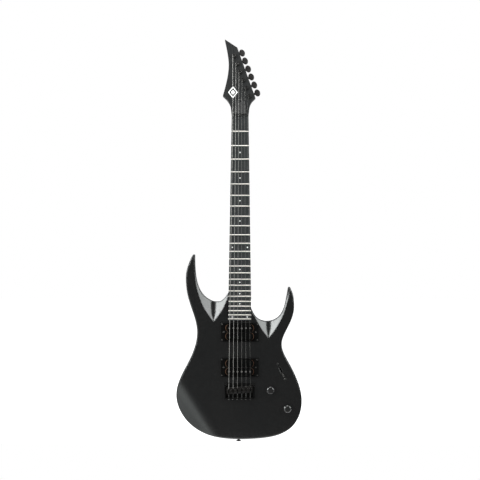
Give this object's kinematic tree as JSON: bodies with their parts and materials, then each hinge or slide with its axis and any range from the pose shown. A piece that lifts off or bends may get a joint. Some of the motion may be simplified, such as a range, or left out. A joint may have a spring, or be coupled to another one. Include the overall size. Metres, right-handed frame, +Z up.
{
  "type": "electric guitar",
  "caption": "Solid-body double-cutaway electric guitar with a bolt-on neck, reversed headstock, fixed string-through bridge and two humbucking pickups.",
  "frame": {"origin": "on the centre line, where the top plane of the neck meets the front edge of the nut", "axes": "+Z up the neck to the headstock, -Y out of the front (string side), +X to the treble side"},
  "size_m": [0.3016, 0.0692, 0.9687],
  "materials": {
    "body_paint": "satin black paint over wood",
    "neck_wood": "dark stained open-grain wood",
    "board_wood": "oiled black hardwood",
    "fret_wire": "polished nickel alloy",
    "dots": "polished white",
    "nut": "black synthetic",
    "steel": "plain steel",
    "black_plastic": "matte black",
    "inlay": "polished white",
    "black_hardware": "black plated, satin",
    "string_steel": "bright wound and plain steel",
    "ring_plastic": "matte black",
    "bobbin_plastic": "matte black",
    "coil_copper": "enamelled copper wire",
    "pole_steel": "black oxide steel",
    "nickel_silver": "nickel silver sheet",
    "wire_jacket": "soft black jacket",
    "tuner_button_black": "satin black",
    "knob_metal": "glossy black nickel",
    "lever_black": "black lever with moulded tip"
  },
  "bodies": {
    "guitar": {"body": "body_paint", "neck": "neck_wood", "fretboard": "board_wood", "frets": "fret_wire", "position_dots": "dots", "nut": "nut", "truss_rod": "steel", "truss_rod_cover": "black_plastic", "headstock_inlay": "inlay", "tuner_housings": "black_hardware", "tuner_bushings": "black_hardware", "headstock_screws": "black_hardware", "string_1": "string_steel", "string_2": "string_steel", "string_3": "string_steel", "string_4": "string_steel", "string_5": "string_steel", "string_6": "string_steel", "neck_pickup_ring": "ring_plastic", "bridge_pickup_ring": "ring_plastic", "neck_pickup_bobbins": "bobbin_plastic", "bridge_pickup_bobbins": "bobbin_plastic", "pickup_coils": "coil_copper", "pickup_poles": "pole_steel", "pickup_baseplates": "nickel_silver", "pickup_screws": "black_hardware", "bridge_plate": "black_hardware", "bridge_saddles": "black_hardware", "saddle_height_screws": "black_hardware", "intonation_screws": "black_hardware", "intonation_springs": "black_hardware", "bridge_plate_screws": "black_hardware", "string_ferrules": "black_hardware", "pots": "steel", "selector_switch": "steel", "selector_screws": "black_hardware", "cavity_cover": "black_plastic", "cavity_cover_screws": "black_hardware", "output_jack": "black_hardware", "strap_buttons": "black_hardware", "neck_bolts": "black_hardware", "wiring": "wire_jacket"},
    "tuner_button_6": {"tuner_button_6": "tuner_button_black"},
    "tuner_post_6": {"tuner_post_6": "black_hardware"},
    "tuner_button_5": {"tuner_button_5": "tuner_button_black"},
    "tuner_post_5": {"tuner_post_5": "black_hardware"},
    "tuner_button_4": {"tuner_button_4": "tuner_button_black"},
    "tuner_post_4": {"tuner_post_4": "black_hardware"},
    "tuner_button_3": {"tuner_button_3": "tuner_button_black"},
    "tuner_post_3": {"tuner_post_3": "black_hardware"},
    "tuner_button_2": {"tuner_button_2": "tuner_button_black"},
    "tuner_post_2": {"tuner_post_2": "black_hardware"},
    "tuner_button_1": {"tuner_button_1": "tuner_button_black"},
    "tuner_post_1": {"tuner_post_1": "black_hardware"},
    "volume_control": {"volume_knob": "knob_metal", "volume_shaft": "steel"},
    "tone_control": {"tone_knob": "knob_metal", "tone_shaft": "steel"},
    "selector_lever": {"selector_lever": "lever_black"}
  },
  "joints": [
    {"name": "tuner_button_6_turn", "type": "hinge", "parent": "guitar", "child": "tuner_button_6", "pos_m": [-0.01688, 0.04863, 0.14833], "axis": [0.9376, 0.0664, 0.3414], "continuous": true},
    {"name": "tuner_post_6_turn", "type": "hinge", "parent": "guitar", "child": "tuner_post_6", "pos_m": [-0.015, 0.04767, 0.14336], "axis": [0, -0.9816, 0.1908], "continuous": true},
    {"name": "tuner_button_5_turn", "type": "hinge", "parent": "guitar", "child": "tuner_button_5", "pos_m": [-0.00948, 0.04483, 0.12875], "axis": [0.9376, 0.0664, 0.3414], "continuous": true},
    {"name": "tuner_post_5_turn", "type": "hinge", "parent": "guitar", "child": "tuner_post_5", "pos_m": [-0.0076, 0.04386, 0.12378], "axis": [0, -0.9816, 0.1908], "continuous": true},
    {"name": "tuner_button_4_turn", "type": "hinge", "parent": "guitar", "child": "tuner_button_4", "pos_m": [-0.00208, 0.04102, 0.10917], "axis": [0.9376, 0.0664, 0.3414], "continuous": true},
    {"name": "tuner_post_4_turn", "type": "hinge", "parent": "guitar", "child": "tuner_post_4", "pos_m": [-0.0002, 0.04006, 0.1042], "axis": [0, -0.9816, 0.1908], "continuous": true},
    {"name": "tuner_button_3_turn", "type": "hinge", "parent": "guitar", "child": "tuner_button_3", "pos_m": [0.00532, 0.03721, 0.08958], "axis": [0.9376, 0.0664, 0.3414], "continuous": true},
    {"name": "tuner_post_3_turn", "type": "hinge", "parent": "guitar", "child": "tuner_post_3", "pos_m": [0.0072, 0.03625, 0.08461], "axis": [0, -0.9816, 0.1908], "continuous": true},
    {"name": "tuner_button_2_turn", "type": "hinge", "parent": "guitar", "child": "tuner_button_2", "pos_m": [0.01272, 0.03341, 0.07], "axis": [0.9376, 0.0664, 0.3414], "continuous": true},
    {"name": "tuner_post_2_turn", "type": "hinge", "parent": "guitar", "child": "tuner_post_2", "pos_m": [0.0146, 0.03244, 0.06503], "axis": [0, -0.9816, 0.1908], "continuous": true},
    {"name": "tuner_button_1_turn", "type": "hinge", "parent": "guitar", "child": "tuner_button_1", "pos_m": [0.02012, 0.0296, 0.05042], "axis": [0.9376, 0.0664, 0.3414], "continuous": true},
    {"name": "tuner_post_1_turn", "type": "hinge", "parent": "guitar", "child": "tuner_post_1", "pos_m": [0.022, 0.02864, 0.04545], "axis": [0, -0.9816, 0.1908], "continuous": true},
    {"name": "volume_turn", "type": "hinge", "parent": "guitar", "child": "volume_control", "pos_m": [0.0738, 0.002, -0.6563], "axis": [0, -1, 0], "range_deg": [0, 300]},
    {"name": "tone_turn", "type": "hinge", "parent": "guitar", "child": "tone_control", "pos_m": [0.1148, 0.002, -0.7007], "axis": [0, -1, 0], "range_deg": [0, 300]},
    {"name": "selector_swing", "type": "hinge", "parent": "guitar", "child": "selector_lever", "pos_m": [0.1002, 0.02, -0.6117], "axis": [-0.9018, 0, -0.4321], "range_deg": [0, 38]}
  ],
  "couplings": [
    {"joint": "tuner_post_6_turn", "follows": "tuner_button_6_turn", "ratio": 0.055556},
    {"joint": "tuner_post_5_turn", "follows": "tuner_button_5_turn", "ratio": 0.055556},
    {"joint": "tuner_post_4_turn", "follows": "tuner_button_4_turn", "ratio": 0.055556},
    {"joint": "tuner_post_3_turn", "follows": "tuner_button_3_turn", "ratio": 0.055556},
    {"joint": "tuner_post_2_turn", "follows": "tuner_button_2_turn", "ratio": 0.055556},
    {"joint": "tuner_post_1_turn", "follows": "tuner_button_1_turn", "ratio": 0.055556}
  ]
}
